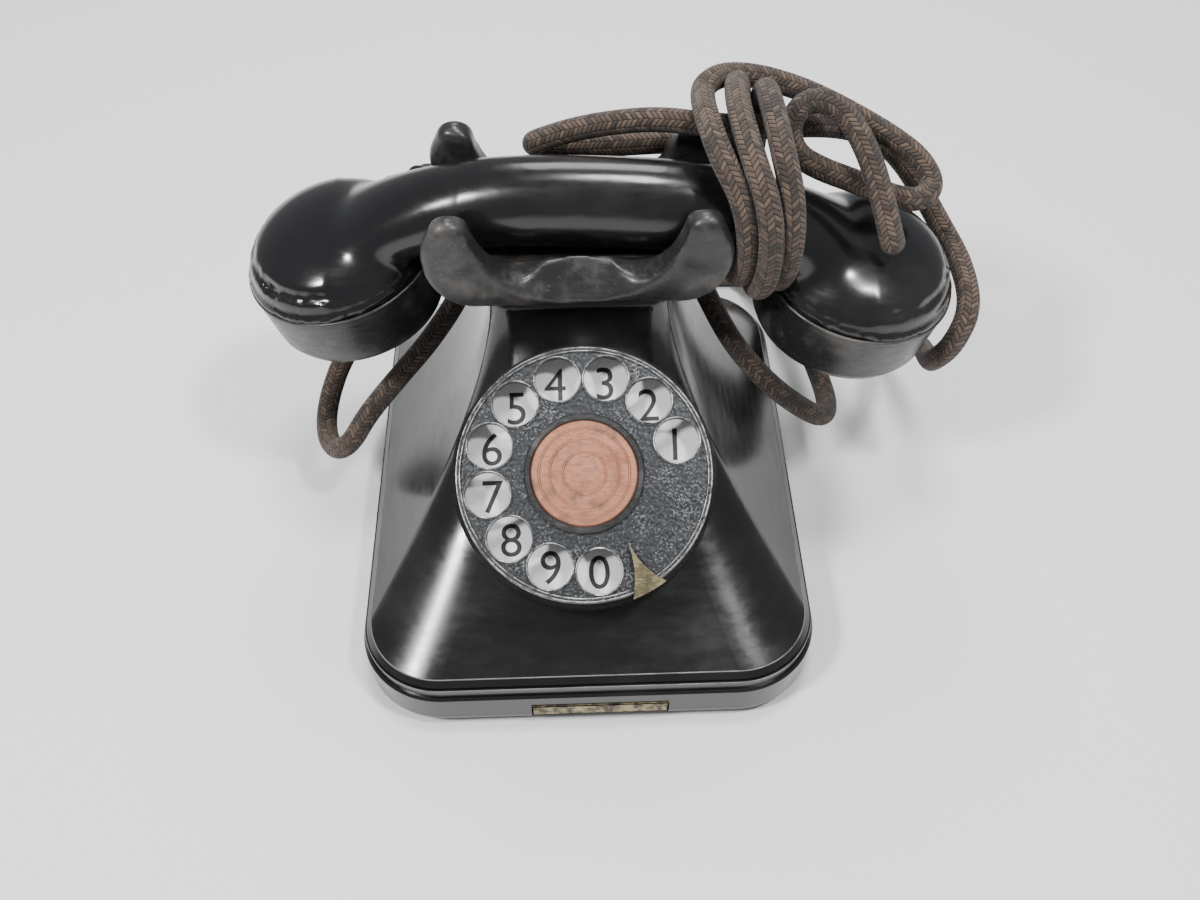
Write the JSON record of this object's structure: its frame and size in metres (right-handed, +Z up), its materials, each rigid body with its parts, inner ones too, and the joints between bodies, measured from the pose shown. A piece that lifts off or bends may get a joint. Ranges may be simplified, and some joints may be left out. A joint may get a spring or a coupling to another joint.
{
  "type": "rotary desk telephone",
  "caption": "Black bakelite rotary desk telephone, handset on its cradle, with a braided cord wound round the receiver end.",
  "frame": {"origin": "bottom centre of the telephone without its cords, on the table", "axes": "+X to the right seen from the dial, +Y from the dial to the back, +Z up"},
  "size_m": [0.2381, 0.2571, 0.1587],
  "materials": {
    "bakelite": "glossy black moulded phenolic, lightly scuffed",
    "bakelite_worn": "worn, dull grey-black moulded phenolic",
    "wheel_paint": "dark grey crinkle finish with bright worn edges",
    "enamel": "white vitreous enamel with black digits",
    "copper": "tarnished reddish disc",
    "brass": "worn, partly tarnished",
    "nickel": "worn bright plating",
    "steel": "plain zinc-plated steel",
    "cast_iron": "dark core iron",
    "copper_wire": "enamelled wire, taped",
    "card": "varnished insulation board",
    "rubber": "black, matt",
    "braid": "brown and black herringbone textile braid",
    "label": "worn gilt plate"
  },
  "bodies": {
    "case": {"base_tray": "bakelite", "rubber_feet": "rubber", "case_screws": "steel", "base_plate": "steel", "label_plate": "label", "case_shell": "bakelite", "dial_cup": "nickel", "number_plate": "enamel", "finger_stop": "brass", "dial_frame": "steel", "dial_frame_screws": "steel", "dial_spring_drum": "steel", "impulse_contacts": "card", "governor_cup": "brass", "plunger_bush": "brass", "cradle_spring": "steel", "hook_switch_frame": "steel", "hook_pivot_pin": "steel", "hook_switch_contacts": "card", "ringer_frame": "steel", "ringer_coils": "copper_wire", "ringer_cores": "cast_iron", "gong_left": "brass", "gong_right": "brass", "gong_screws": "steel", "induction_coil": "copper_wire", "condenser": "steel", "terminal_block": "bakelite_worn", "terminal_screws": "brass", "handset_cord_gland": "rubber", "line_cord_gland": "rubber", "handset_cord": "braid", "line_cord_lead": "braid"},
    "dial": {"finger_wheel": "wheel_paint", "dial_badge": "copper", "badge_ring": "nickel", "dial_shaft": "steel", "dial_main_gear": "brass", "pulse_cam": "card"},
    "governor": {"governor_rotor": "steel", "governor_weights": "brass"},
    "cradle": {"cradle": "bakelite_worn", "cradle_plunger": "steel", "cradle_screws": "steel"},
    "hook_lever": {"hook_lever": "card"},
    "clapper": {"clapper": "steel"},
    "handset": {"handset_handle": "bakelite", "transmitter_cap": "bakelite_worn", "receiver_cap": "bakelite_worn", "transmitter_capsule": "steel", "receiver_capsule": "steel", "handset_cord_bush": "rubber", "line_cord_rise": "braid", "line_cord_hank": "braid", "line_cord_wraps": "braid", "line_cord_tail": "braid"}
  },
  "joints": [
    {"name": "cradle_press", "type": "slide", "parent": "case", "child": "cradle", "axis": [0, 0, 1], "range_m": [0, 0.004], "stiffness_N_per_m": 120, "springref_m": 0.015, "deforming": ["cradle_spring"]},
    {"name": "handset_lift", "type": "slide", "parent": "cradle", "child": "handset", "axis": [0, 0, 1], "range_m": [0, 0.09]},
    {"name": "hook_lever_turn", "type": "hinge", "parent": "case", "child": "hook_lever", "pos_m": [-0.0061, 0.044, 0.0566], "axis": [-1, 0, 0], "range_deg": [0, 9.4]},
    {"name": "dial_turn", "type": "hinge", "parent": "case", "child": "dial", "pos_m": [-0.0061, -0.047, 0.0774], "axis": [0, 0.5373, -0.8434], "range_deg": [0, 330], "stiffness_Nm_per_rad": 0.004, "springref_deg": -85.94},
    {"name": "governor_turn", "type": "hinge", "parent": "case", "child": "governor", "pos_m": [-0.0313, -0.047, 0.0774], "axis": [0, 0.5373, -0.8434], "range_deg": [-1655, 0]},
    {"name": "clapper_swing", "type": "hinge", "parent": "case", "child": "clapper", "pos_m": [-0.0061, 0.033, 0.0455], "axis": [0, 1, 0], "range_deg": [-4, 4], "stiffness_Nm_per_rad": 0.01}
  ],
  "couplings": [
    {"joint": "hook_lever_turn", "follows": "cradle_press", "rad_per_m": 40},
    {"joint": "governor_turn", "follows": "dial_turn", "ratio": -5}
  ]
}
